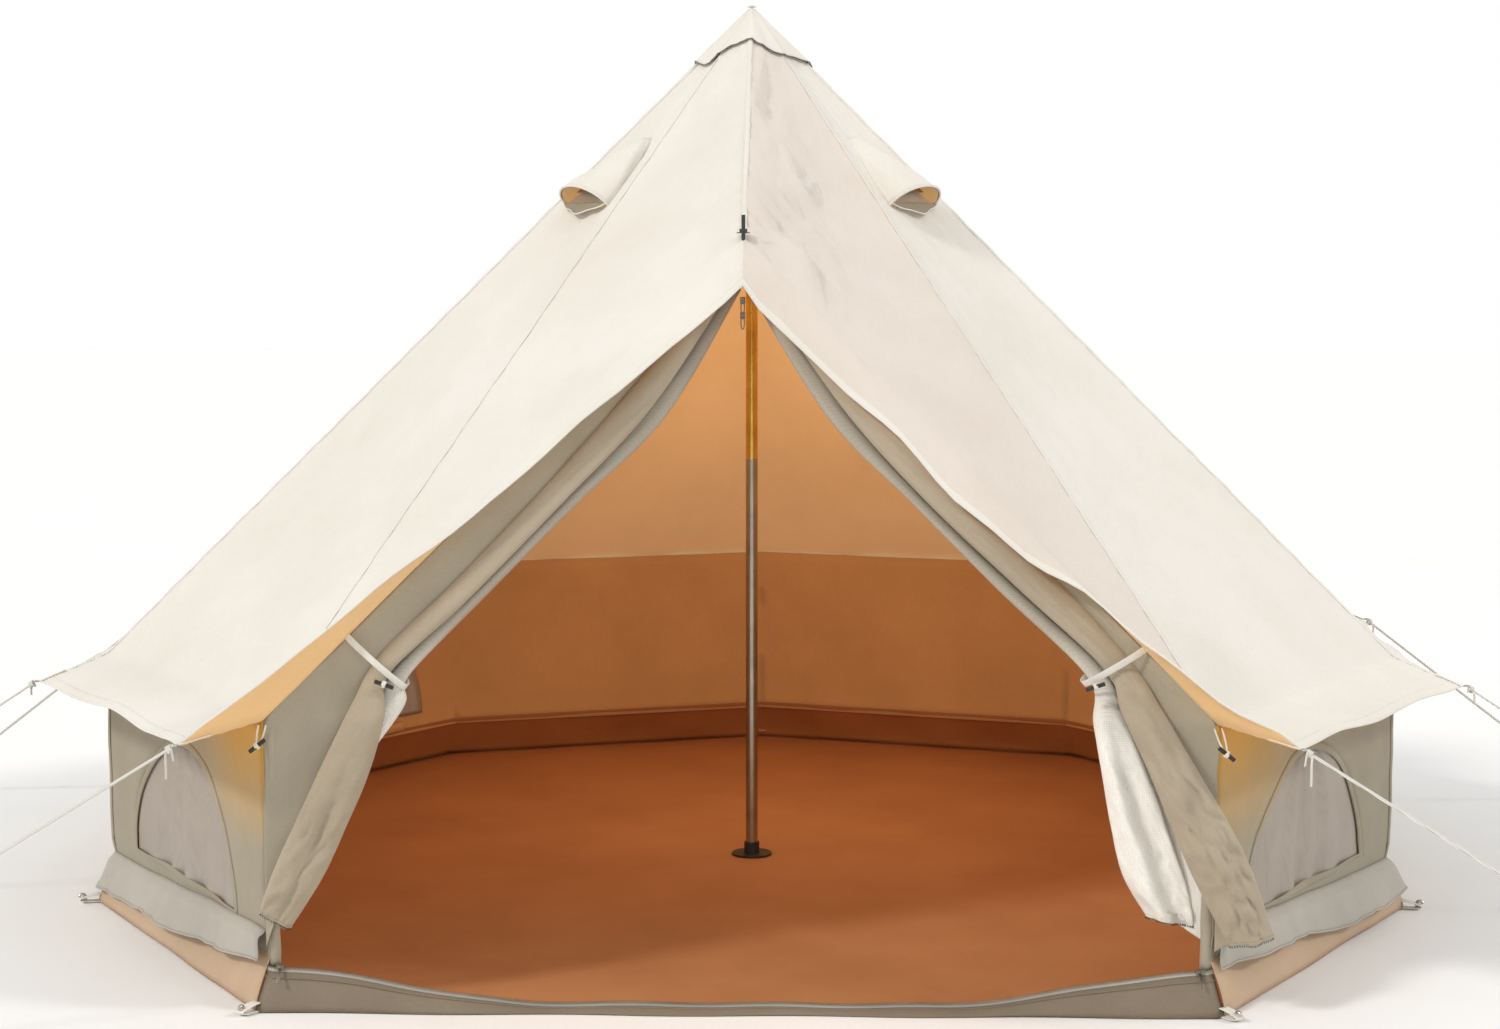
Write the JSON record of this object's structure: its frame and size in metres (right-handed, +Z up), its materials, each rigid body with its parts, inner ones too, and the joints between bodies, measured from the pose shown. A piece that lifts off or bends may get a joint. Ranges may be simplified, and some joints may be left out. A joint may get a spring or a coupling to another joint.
{
  "type": "bell tent",
  "caption": "Round canvas bell tent: centre pole, framed door tied open under a visor, low walls with mesh windows, hooded roof vents, doubled guy ropes and a sewn-in groundsheet.",
  "frame": {"origin": "foot of the centre pole, on the ground under the groundsheet", "axes": "+Z up, -Y out through the door, +X to the right of a person who faces the door from outside"},
  "size_m": [4.6262, 3.6607, 1.9939],
  "materials": {
    "roof_canvas": "matt woven cotton",
    "wall_canvas": "matt woven cotton",
    "door_canvas": "matt woven cotton",
    "insect_mesh": "fine white netting",
    "groundsheet": "coated cloth, slight sheen",
    "pole_steel": "galvanised",
    "black_fitting": "moulded",
    "bright_steel": "plated",
    "webbing": "woven tape",
    "toggle_plastic": "moulded",
    "zip_metal": "antique plated",
    "rope": "laid cord",
    "runner_plastic": "moulded",
    "peg_steel": "galvanised"
  },
  "bodies": {
    "tent": {"roof_panels_front": "roof_canvas", "roof_panels_front_side": "roof_canvas", "roof_panels_round": "roof_canvas", "eave_valance": "roof_canvas", "apex_cap": "roof_canvas", "vent_hoods": "roof_canvas", "walls_with_windows": "wall_canvas", "walls_plain": "wall_canvas", "window_flaps_rolled": "wall_canvas", "mud_skirt": "wall_canvas", "mesh_screens": "insect_mesh", "groundsheet_floor": "groundsheet", "groundsheet_sides": "groundsheet", "door_threshold": "groundsheet", "pole_lower_section": "pole_steel", "pole_upper_section": "pole_steel", "pole_joint_sleeve": "pole_steel", "frame_leg_left": "pole_steel", "frame_leg_right": "pole_steel", "pole_foot_plate": "black_fitting", "pole_top_cap": "black_fitting", "frame_peak_bracket": "black_fitting", "door_spike": "bright_steel", "spike_washers": "bright_steel", "eave_rings": "bright_steel", "peg_tabs": "webbing", "guy_rope_front_left": "rope", "guy_rope_front_right": "rope", "guy_rope_front_side_left": "rope", "guy_rope_front_side_right": "rope", "guy_rope_rear_side_left": "rope", "guy_rope_rear_side_right": "rope", "guy_rope_rear_left": "rope", "guy_rope_rear_right": "rope", "guy_rope_back": "rope", "guy_pegs": "peg_steel", "corner_pegs": "peg_steel"},
    "door_left": {"canvas_door_left": "door_canvas", "mesh_door_left": "insect_mesh", "door_tie_left": "webbing"},
    "tie_toggle_left": {"tie_toggle_left": "toggle_plastic"},
    "spare_toggle_left": {"spare_toggle_left": "toggle_plastic"},
    "zip_slider_left": {"zip_slider_left": "zip_metal"},
    "zip_pull_left": {"zip_pull_left": "zip_metal"},
    "door_right": {"canvas_door_right": "door_canvas", "mesh_door_right": "insect_mesh", "door_tie_right": "webbing"},
    "tie_toggle_right": {"tie_toggle_right": "toggle_plastic"},
    "spare_toggle_right": {"spare_toggle_right": "toggle_plastic"},
    "zip_slider_right": {"zip_slider_right": "zip_metal"},
    "zip_pull_right": {"zip_pull_right": "zip_metal"},
    "guy_runner_front_left": {"guy_runner_front_left": "runner_plastic"},
    "guy_runner_front_right": {"guy_runner_front_right": "runner_plastic"},
    "guy_runner_front_side_left": {"guy_runner_front_side_left": "runner_plastic"},
    "guy_runner_front_side_right": {"guy_runner_front_side_right": "runner_plastic"},
    "guy_runner_rear_side_left": {"guy_runner_rear_side_left": "runner_plastic"},
    "guy_runner_rear_side_right": {"guy_runner_rear_side_right": "runner_plastic"},
    "guy_runner_rear_left": {"guy_runner_rear_left": "runner_plastic"},
    "guy_runner_rear_right": {"guy_runner_rear_right": "runner_plastic"},
    "guy_runner_back": {"guy_runner_back": "runner_plastic"}
  },
  "joints": [
    {"name": "door_left_swing", "type": "hinge", "parent": "tent", "child": "door_left", "pos_m": [-0.899, -1.265, 0.558], "axis": [-0.67, -0.3085, -0.6752], "range_deg": [0, 15]},
    {"name": "tie_toggle_left_turn", "type": "hinge", "parent": "door_left", "child": "tie_toggle_left", "pos_m": [-0.672, -1.24276, 0.622], "axis": [0, -0.9095, 0.4156], "range_deg": [-70, 70]},
    {"name": "spare_toggle_left_turn", "type": "hinge", "parent": "tent", "child": "spare_toggle_left", "pos_m": [-0.906, -1.287, 0.512], "axis": [0, -1, 0], "range_deg": [-60, 60]},
    {"name": "zip_slider_left_slide", "type": "slide", "parent": "tent", "child": "zip_slider_left", "axis": [0.9897, 0, -0.1433], "range_m": [0, 0.33]},
    {"name": "zip_pull_left_swing", "type": "hinge", "parent": "zip_slider_left", "child": "zip_pull_left", "pos_m": [-0.87219, -1.2801, 0.08271], "axis": [0, 1, 0], "range_deg": [-80, 80]},
    {"name": "door_right_swing", "type": "hinge", "parent": "tent", "child": "door_right", "pos_m": [0.899, -1.265, 0.558], "axis": [-0.67, 0.3085, 0.6752], "range_deg": [0, 15]},
    {"name": "tie_toggle_right_turn", "type": "hinge", "parent": "door_right", "child": "tie_toggle_right", "pos_m": [0.672, -1.24276, 0.622], "axis": [0, -0.9095, 0.4156], "range_deg": [-70, 70]},
    {"name": "spare_toggle_right_turn", "type": "hinge", "parent": "tent", "child": "spare_toggle_right", "pos_m": [0.906, -1.332, 0.512], "axis": [0, -1, 0], "range_deg": [-60, 60]},
    {"name": "zip_slider_right_slide", "type": "slide", "parent": "tent", "child": "zip_slider_right", "axis": [-0.9897, 0, -0.1433], "range_m": [0, 0.33]},
    {"name": "zip_pull_right_swing", "type": "hinge", "parent": "zip_slider_right", "child": "zip_pull_right", "pos_m": [0.87219, -1.2801, 0.08271], "axis": [0, 1, 0], "range_deg": [-80, 80]},
    {"name": "guy_runner_front_left_slide", "type": "slide", "parent": "tent", "child": "guy_runner_front_left", "axis": [-0.8251, -0.268, -0.4974], "range_m": [-0.12, 0.08]},
    {"name": "guy_runner_front_right_slide", "type": "slide", "parent": "tent", "child": "guy_runner_front_right", "axis": [0.8251, -0.268, -0.4974], "range_m": [-0.12, 0.08]},
    {"name": "guy_runner_front_side_left_slide", "type": "slide", "parent": "tent", "child": "guy_runner_front_side_left", "axis": [-0.8359, 0, -0.549], "range_m": [-0.12, 0.08]},
    {"name": "guy_runner_front_side_right_slide", "type": "slide", "parent": "tent", "child": "guy_runner_front_side_right", "axis": [0.8359, 0, -0.549], "range_m": [-0.12, 0.08]},
    {"name": "guy_runner_rear_side_left_slide", "type": "slide", "parent": "tent", "child": "guy_runner_rear_side_left", "axis": [-0.775, 0.2301, -0.5885], "range_m": [-0.12, 0.08]},
    {"name": "guy_runner_rear_side_right_slide", "type": "slide", "parent": "tent", "child": "guy_runner_rear_side_right", "axis": [0.775, 0.2301, -0.5885], "range_m": [-0.12, 0.08]},
    {"name": "guy_runner_rear_left_slide", "type": "slide", "parent": "tent", "child": "guy_runner_rear_left", "axis": [-0.3916, 0.5169, -0.7612], "range_m": [-0.12, 0.08]},
    {"name": "guy_runner_rear_right_slide", "type": "slide", "parent": "tent", "child": "guy_runner_rear_right", "axis": [0.3916, 0.5169, -0.7612], "range_m": [-0.12, 0.08]},
    {"name": "guy_runner_back_slide", "type": "slide", "parent": "tent", "child": "guy_runner_back", "axis": [0, 0.5618, -0.8273], "range_m": [-0.12, 0.08]}
  ]
}
